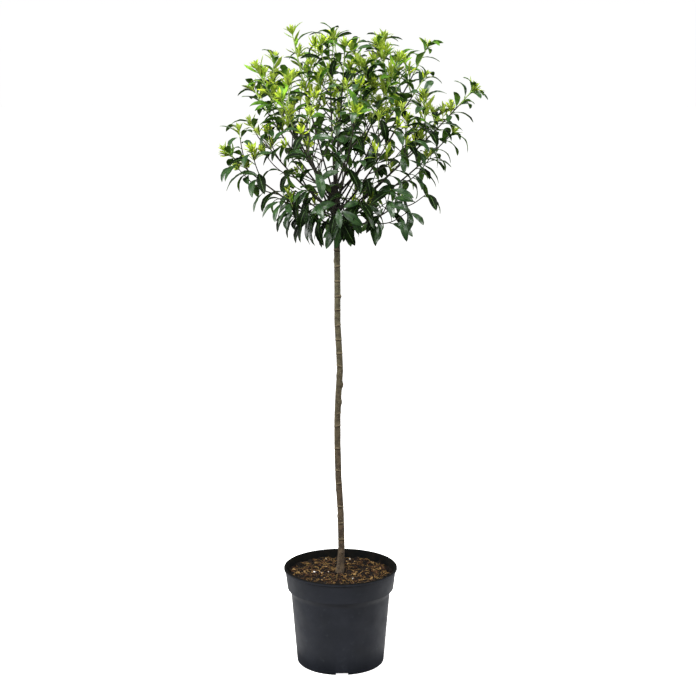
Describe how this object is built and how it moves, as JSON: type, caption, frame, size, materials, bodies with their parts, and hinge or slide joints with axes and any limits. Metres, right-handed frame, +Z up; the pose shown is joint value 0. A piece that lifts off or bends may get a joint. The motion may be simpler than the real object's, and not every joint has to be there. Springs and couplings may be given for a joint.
{
  "type": "potted standard cherry laurel",
  "caption": "Cherry laurel grown as a standard: an open round head of leafy shoots on a slender clear stem, rooted in a round black nursery pot with a deep rim band.",
  "frame": {"origin": "middle of the flat underside of the pot, where it stands", "axes": "+Z straight up along the pot's axis, -Y towards the picture's camera, +X to the right in the picture"},
  "size_m": [0.591, 0.5488, 1.4544],
  "materials": {
    "pot": "matt injection-moulded polypropylene, near black",
    "soil": "loose brown peat, coir and bark fines",
    "bark": "thin grey-brown bark with pale pores",
    "foliage": "leathery glossy green leaves, lime green at the shoot tips"
  },
  "bodies": {
    "root": {"pot": "pot", "soil": "soil", "trunk": "bark", "bough_back_left": "bark", "bough_back_mid": "bark", "bough_back_right": "bark", "bough_crest": "bark", "bough_front_left": "bark", "bough_front_low": "bark", "bough_front_mid": "bark", "bough_front_right": "bark", "bough_left_back": "bark", "bough_left_high": "bark", "bough_left_low": "bark", "bough_left_mid": "bark", "bough_right_back": "bark", "bough_right_high": "bark", "bough_right_low": "bark", "bough_right_mid": "bark", "bough_right_up": "bark", "bough_spur": "bark", "bough_tall_left": "bark", "bough_top_left": "bark", "bough_top_mid": "bark", "bough_top_right": "bark", "foliage_back_left": "foliage", "foliage_back_mid": "foliage", "foliage_back_right": "foliage", "foliage_crest": "foliage", "foliage_front_left": "foliage", "foliage_front_low": "foliage", "foliage_front_mid": "foliage", "foliage_front_right": "foliage", "foliage_left_back": "foliage", "foliage_left_high": "foliage", "foliage_left_low": "foliage", "foliage_left_mid": "foliage", "foliage_right_back": "foliage", "foliage_right_high": "foliage", "foliage_right_low": "foliage", "foliage_right_mid": "foliage", "foliage_right_up": "foliage", "foliage_skirt_1": "foliage", "foliage_skirt_2": "foliage", "foliage_skirt_3": "foliage", "foliage_skirt_4": "foliage", "foliage_skirt_5": "foliage", "foliage_skirt_6": "foliage", "foliage_skirt_7": "foliage", "foliage_spur": "foliage", "foliage_tall_left": "foliage", "foliage_top_left": "foliage", "foliage_top_mid": "foliage", "foliage_top_right": "foliage"}
  },
  "joints": []
}
